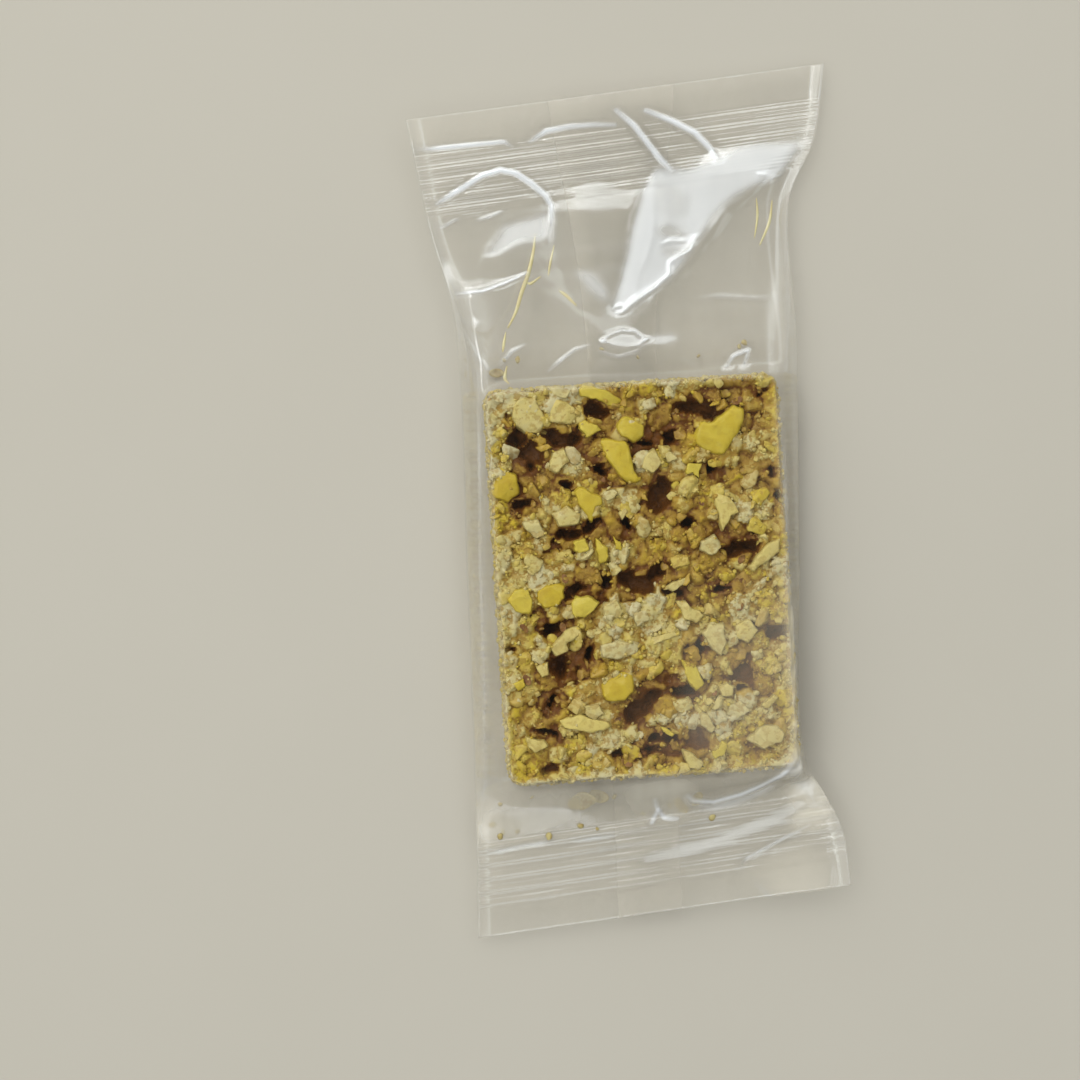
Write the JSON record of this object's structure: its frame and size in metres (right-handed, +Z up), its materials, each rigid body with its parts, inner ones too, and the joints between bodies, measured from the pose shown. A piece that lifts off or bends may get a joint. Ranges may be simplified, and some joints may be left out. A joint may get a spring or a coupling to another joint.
{
  "type": "honey nut brittle bar in clear packet",
  "caption": "Pressed rectangular bar of honey nut brittle sealed in a flat clear film packet with crimped end seals, lying on its back.",
  "frame": {"origin": "centre of the packet's outline, on the surface that it lies on", "axes": "+Z up out of the shown face, +Y along the packet towards its top seal"},
  "size_m": [0.085, 0.1754, 0.0126],
  "materials": {
    "clear_film": "thin clear glossy film over pale yellow and brown nut brittle"
  },
  "bodies": {
    "root": {"packet": "clear_film"}
  },
  "joints": []
}
